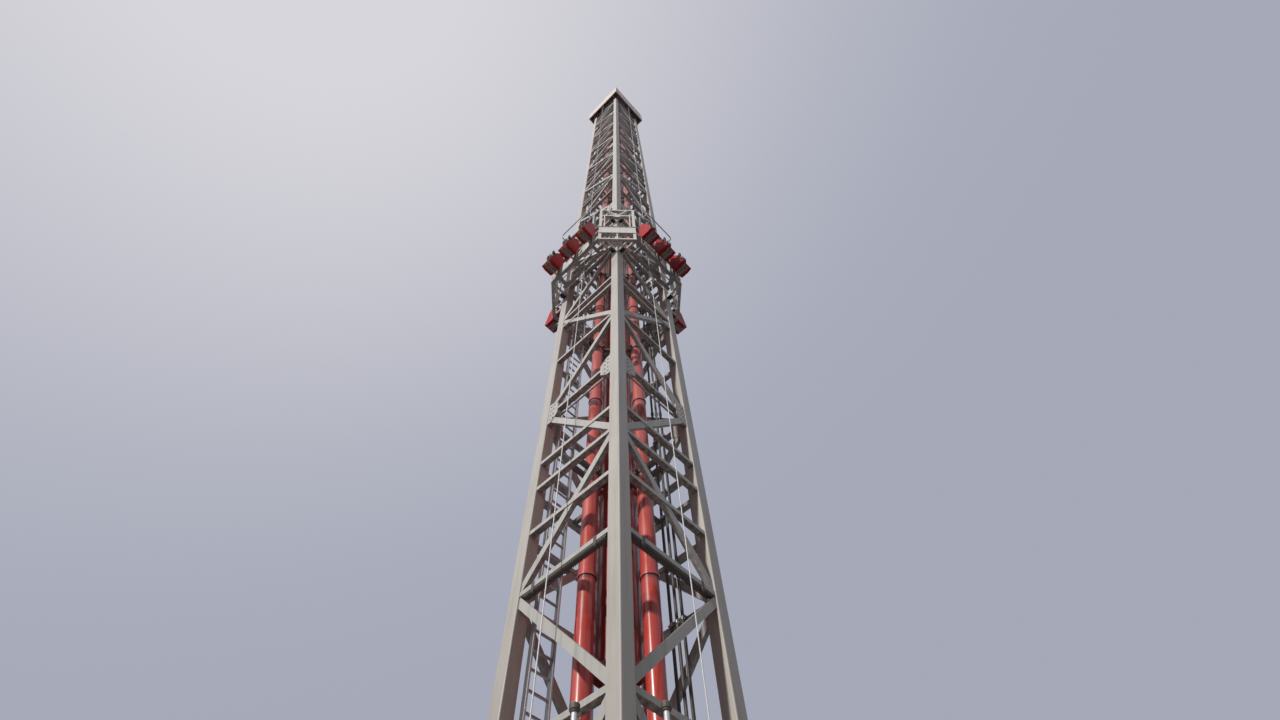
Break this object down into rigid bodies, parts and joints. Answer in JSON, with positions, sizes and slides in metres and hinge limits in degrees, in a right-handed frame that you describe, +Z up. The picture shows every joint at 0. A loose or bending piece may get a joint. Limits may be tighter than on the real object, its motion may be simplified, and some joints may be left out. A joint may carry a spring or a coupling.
{
  "type": "drop tower ride, 1:2 scale model",
  "caption": "Square lattice mast with red air tubes inside, a panelled top and a ring carriage of outward seats that slides up and down on the legs",
  "frame": {"origin": "middle of the central bearing plate's underside, on the mast's axis at ground level", "axes": "+Z up along the mast; X and Y along the mast's sides; the leg at -X -Y is the front one of the picture"},
  "size_m": [2.411, 2.411, 30.22],
  "materials": {
    "steel_white": "satin",
    "steel_grey": "satin",
    "steel_dark": "satin",
    "tube_red": "gloss",
    "receiver_red": "gloss",
    "galvanised": "satin",
    "cable_steel": "satin",
    "cap_pink": "satin",
    "seat_red": "gloss",
    "shell_white": "gloss",
    "restraint_black": "matte",
    "roller_black": "matte"
  },
  "bodies": {
    "mast": {"base_frame": "steel_grey", "base_plates": "steel_white", "leg_front": "steel_white", "leg_left": "steel_white", "leg_right": "steel_white", "leg_back": "steel_white", "lattice_front_left": "steel_white", "lattice_front_right": "steel_white", "lattice_back_left": "steel_white", "lattice_back_right": "steel_white", "top_frame": "steel_grey", "air_tubes": "tube_red", "receiver": "receiver_red", "tube_brackets": "steel_dark", "ladder": "galvanised", "pipe_run": "steel_dark", "stand_pipes": "galvanised", "lift_cables": "cable_steel", "bottom_sheaves": "galvanised", "top_sheaves": "galvanised", "sheave_axles": "galvanised", "cap_frame": "steel_dark", "cap_panels": "cap_pink", "cap_roof": "steel_white"},
    "carriage": {"corner_frame_front": "steel_white", "corner_frame_left": "steel_white", "corner_frame_right": "steel_white", "corner_frame_back": "steel_white", "side_frame_front_left": "steel_grey", "side_frame_front_right": "steel_grey", "side_frame_back_left": "steel_grey", "side_frame_back_right": "steel_grey", "seats_front_left": "seat_red", "seats_front_right": "seat_red", "seats_back_left": "seat_red", "seats_back_right": "seat_red", "backs_front_left": "shell_white", "backs_front_right": "shell_white", "backs_back_left": "shell_white", "backs_back_right": "shell_white", "restraints_front_left": "restraint_black", "restraints_front_right": "restraint_black", "restraints_back_left": "restraint_black", "restraints_back_right": "restraint_black", "guide_rollers": "roller_black", "cable_clamps": "steel_white", "hoop_rails": "galvanised"}
  },
  "joints": [
    {"name": "carriage_travel", "type": "slide", "parent": "mast", "child": "carriage", "axis": [0, 0, 1], "range_m": [-8.8, 15.5]}
  ]
}
